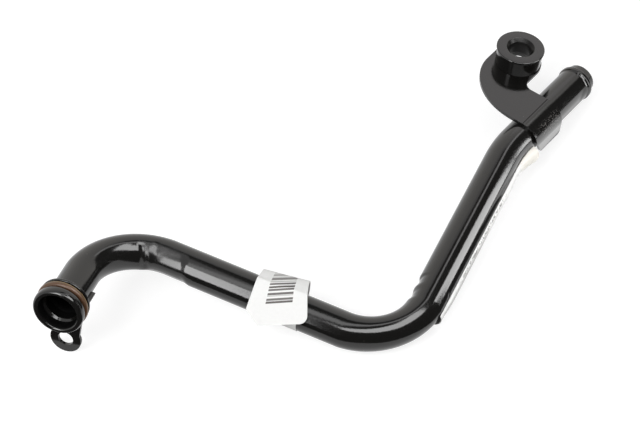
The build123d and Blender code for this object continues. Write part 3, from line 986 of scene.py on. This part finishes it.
def bar_rows(tree, height):
    """Ink of the printed bars over their height: dark and pale rows of uneven width."""
    stops = [(0.0, (0, 0, 0))]
    for middle, width, ink in BARS:
        stops.append(((middle - width / 2) / BARS_TOP, (ink, ink, ink)))
        stops.append(((middle + width / 2) / BARS_TOP, (0, 0, 0)))
    rows = colour_row(tree, work_out(tree, "DIVIDE", height, BARS_TOP), stops, stepped=True)
    block = between(tree, height, 0.0, BARS_TOP - 2 * BARS_TOP_SOFT, BARS_TOP_SOFT)
    return work_out(tree, "MULTIPLY", rows, block)


def wrap_paper(fibres, shift):
    """Matt white paper of the wrapped label, with a block of plain printed bars.

    On the label's page one axis runs back along the tube from the second corner and the
    other up the flap. The bars slant as the hem does, and their block leans a little.
    """
    material, tree, shader, colour = new_paper("wrap_paper", fibres, WRAP_TONES)
    back = -unit(CORNER_2 - CORNER_1)
    upright = unit(np.array([0, 0, 1]) - back * back[2])
    facing = turned(upright[None], -back, [radians(PAGE_FACING)])[0]
    _, parts = own_axes(tree, CORNER_2 + shift, back, np.cross(back, facing), -facing)
    slant = work_out(tree, "MULTIPLY_ADD", parts["X"], tan(radians(BARS_SLANT)), -BARS_LOW)
    height = work_out(tree, "ADD", parts["Y"], slant)
    near = work_out(tree, "MULTIPLY_ADD", height, -BARS_NEAR_LEAN, parts["X"])
    far = work_out(tree, "MULTIPLY_ADD", height, -BARS_FAR_LEAN, parts["X"])
    ends = (near, (BARS_NEAR, BARS_BACK, BARS_SOFT)), (far, (0, BARS_FAR, BARS_SOFT))
    block = within(tree, *ends, (parts["Z"], PAGE_DEPTH))
    ink = work_out(tree, "MULTIPLY", bar_rows(tree, height), block)
    feed(tree, shader, {"Base Color": mixed(tree, ink, colour, INK)})
    return material


def strip_paper(fibres, shift):
    """Paper of the strip: white by the tube, a row of specks, a grey band of painted shade and a beige
    painted shadow.

    Measured along the second run, out from it and down. The specks are a fine noise that
    shows only near one height. The painted shadow is a beige patch at the end by the saddle,
    where the saddle bracket shades the strip.
    """
    material, tree, shader, colour = new_paper("strip_paper", fibres, STRIP_TONES)
    way = unit(CORNER_3 - CORNER_2)
    up = unit(np.array([0, 0, 1]) - way * way[2])
    place, parts = own_axes(tree, CORNER_2 + shift, way, np.cross(way, up), -up)
    shade_band = within(tree, (parts["X"], GREYED_STRETCH), (parts["Z"], SHADE_BAND_DOWN))
    row = within(tree, (parts["X"], SPECKS_ALONG), (parts["Z"], SPECKS_DOWN))
    specks = rise(tree, noise(tree, place, SPECKS_GRAIN), *SPECKS_RISE)
    # The grey band is painted shade, and the beige patch is a painted shadow of the saddle bracket
    for mask, tone in (
        (work_out(tree, "MULTIPLY", shade_band, SHADE_BAND_STRENGTH), SHADE_BAND_TONE),
        (within(tree, (parts["X"], GREYED_STRETCH), (parts["Z"], OUTLINE_DOWN)), OUTLINE_TONE),
        (work_out(tree, "MULTIPLY", row, specks), SPECK_TONE),
        (within(tree, (parts["X"], BRACKET_SHADOW_ALONG)), BRACKET_SHADOW_TONE),
    ):
        colour = mixed(tree, mask, colour, tone)
    feed(tree, shader, {"Base Color": colour})
    return material


def seen_or_mirrored(tree):
    """Mask of what the camera sees straight or in gloss."""
    path = new_node(tree, "ShaderNodeLightPath").outputs
    return work_out(tree, "MAXIMUM", path["Is Camera Ray"], path["Is Glossy Ray"])


def make_floor():
    """Plain pale floor that still takes the object's shadow."""
    corners = np.array([(-1, -1, 0), (1, -1, 0), (1, 1, 0), (-1, 1, 0)]) * FLOOR_HALF
    mesh = bpy.data.meshes.new("floor")
    mesh.from_pydata(corners.tolist(), [], [(0, 1, 2, 3)])
    floor = link(bpy.data.objects.new("floor", mesh))
    material, tree, shader = new_material("floor")
    feed(tree, shader, {"Base Color": (FLOOR_TONE,) * 3, "Roughness": 1.0, "Specular IOR Level": 0.0})
    strength = work_out(tree, "MULTIPLY", seen_or_mirrored(tree), FLOOR_LIFT)
    lift = new_node(tree, "ShaderNodeEmission", {"Strength": strength})
    both = new_node(tree, "ShaderNodeAddShader", {0: shader.outputs[0], 1: lift.outputs[0]})
    feed(tree, tree.nodes["Material Output"], {"Surface": both.outputs[0]})
    floor.data.materials.append(material)


def make_world():
    """White to the camera and to gloss, and a plain soft light to everything else."""
    world = bpy.data.worlds.new("studio")
    bpy.context.scene.world = world
    world.use_nodes = True
    tree = world.node_tree
    level = new_node(tree, "ShaderNodeMapRange", {
        "Value": seen_or_mirrored(tree), "To Min": WORLD_LEVEL, "To Max": 1.0,
    })
    feed(tree, tree.nodes["Background"], {"Strength": level.outputs["Result"], "Color": (1, 1, 1)})


def make_lamps():
    """Two large soft lamps, one high in front on the left and one low on the right."""
    for name, place, size, power in LAMPS:
        data = bpy.data.lights.new(name, "AREA")
        data.shape = "DISK"
        data.size = size
        data.energy = power
        lamp = link(bpy.data.objects.new(name, data))
        lamp.location = place
        lamp.rotation_euler = Vector(place).to_track_quat("Z", "Y").to_euler()
        lamp.visible_glossy = False


def studio_card(name, points, strength, tint=(1, 1, 1), one_sided=False):
    """Glowing or dark card of the studio that shows only in gloss.

    A one-sided card lets through what comes at its back.
    """
    card = grid_mesh(name, np.asarray(points, float), smooth=False)
    material, tree, shader = new_material(name)
    tree.nodes.remove(shader)
    face = new_node(tree, "ShaderNodeEmission", {"Strength": strength, "Color": tint})
    if one_sided:
        face = new_node(tree, "ShaderNodeMixShader", {
            0: new_node(tree, "ShaderNodeNewGeometry").outputs["Backfacing"],
            1: face.outputs[0],
            2: new_node(tree, "ShaderNodeBsdfTransparent").outputs[0],
        })
    feed(tree, tree.nodes["Material Output"], {"Surface": face.outputs[0]})
    card.data.materials.append(material)
    card.visible_camera = False
    card.visible_diffuse = False
    card.visible_transmission = False
    card.visible_shadow = False


def dome_band(edge, rim, reach):
    """Grid of points on a sphere round the object, from an edge to a level rim.

    A point is the reach times the sine and cosine of its azimuth, both times the cosine of
    its elevation, and the reach times the sine of its elevation.
    """
    azimuths, elevations = np.radians(edge).T
    rows = np.linspace(0, 1, DOME_ROWS)[:, None]
    heights = elevations + (radians(rim) - elevations) * rows
    level = np.cos(heights) * reach
    return np.stack([level * np.sin(azimuths), level * np.cos(azimuths), np.sin(heights) * reach], -1)


def panel(start, end, bottom, top):
    """Upright card between two places on the floor's plan."""
    return [[(*place, height) for height in (bottom, top)] for place in (start, end)]


def shelf(inner, outer, height):
    """Level card between two edges on the floor's plan."""
    return [[(*place, height) for place in edge] for edge in (inner, outer)]


def make_surroundings():
    """What the gloss shows of the studio besides its white walls.

    The room is dark beyond the front right, and the back wall is bright. Lamps hang in
    front on the left, high over the front right and in a thin line overhead, and one
    stands close on the right. Small cards brighten the saddle's leg and the boss's top,
    and two dark ones keep the right lamp off the second run and the saddle. The table is
    dark from a hand's breadth in front of the object.
    """
    studio_card("dark_room", dome_band(ROOM_EDGE, ROOM_RIM, ROOM_REACH), DARK_LEVEL)
    studio_card("back_wall", dome_band(WALL_EDGE, WALL_RIM, WALL_REACH), WALL_GLOW, WALL_TINT)
    studio_card("front_lamp", panel(*FRONT_LAMP), FRONT_GLOW)
    studio_card("over_lamp", shelf(*OVER_LAMP), OVER_GLOW)
    studio_card("thin_lamp", shelf(*THIN_LAMP), THIN_GLOW)
    studio_card("leg_card", shelf(*LEG_CARD), LEG_GLOW)
    studio_card("plate_card", panel(*PLATE_CARD), PLATE_GLOW, PLATE_TINT)
    studio_card("right_lamp", panel(*RIGHT_LAMP), RIGHT_GLOW)
    studio_card("dark_screen", panel(*DARK_SCREEN), DARK_LEVEL, one_sided=True)
    studio_card("saddle_shade", panel(*SADDLE_SHADE), DARK_LEVEL, one_sided=True)
    studio_card("dark_table", shelf(*DARK_TABLE), DARK_LEVEL)


def make_camera():
    """Camera at the photograph's viewing angle."""
    data = bpy.data.cameras.new("camera")
    data.lens = CAMERA_LENS
    data.clip_start = 0.01
    camera = link(bpy.data.objects.new("camera", data))
    camera.location = CAMERA_PLACE
    camera.rotation_euler = (radians(90 - CAMERA_ELEVATION), 0, radians(CAMERA_AZIMUTH))
    bpy.context.scene.camera = camera
    bpy.context.scene.view_settings.view_transform = "Standard"


def dress_nodes(finishes):
    """Materials of the CAD pieces that show as they are."""
    for node, finish in finishes.items():
        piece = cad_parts[node]
        piece.data.materials.clear()
        piece.data.materials.append(finish)


def main():
    """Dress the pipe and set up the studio."""
    bumps, fibres = fine_bumps(), paper_fibres()
    profile, bore = tube_profile()
    shift = to_frame(swept(profile, full_turn(TUBE_SIDES)), "pipe_tube")
    make_tube(profile, bore, shift, black_paint("tube_paint", bumps), bore_painted_shade())
    make_ring(seal_rubber(), shift)
    boss_bore = black_paint("boss_bore_paint", bumps, BOSS_BORE_ROUGHNESS, BOSS_BORE_SHINE)
    make_boss(black_paint("boss_paint", bumps), boss_bore, shift)
    saddle_paint = black_paint("saddle_paint", bumps)
    saddle_marks(saddle_paint, shift)
    soft_edged("saddle_plate", "saddle_bracket", SADDLE_EDGE, saddle_paint, "saddle_paint", shift)
    eyelet_paint = black_paint("eyelet_paint", bumps)
    soft_edged("eyelet_plate", "eyelet_bracket", EYELET_EDGE, eyelet_paint, "eyelet_paint")
    dress_nodes({
        "wrap_label": wrap_paper(fibres, shift),
        "strip_label": strip_paper(fibres, shift),
    })
    make_floor()
    make_world()
    make_lamps()
    make_surroundings()
    make_camera()


main()
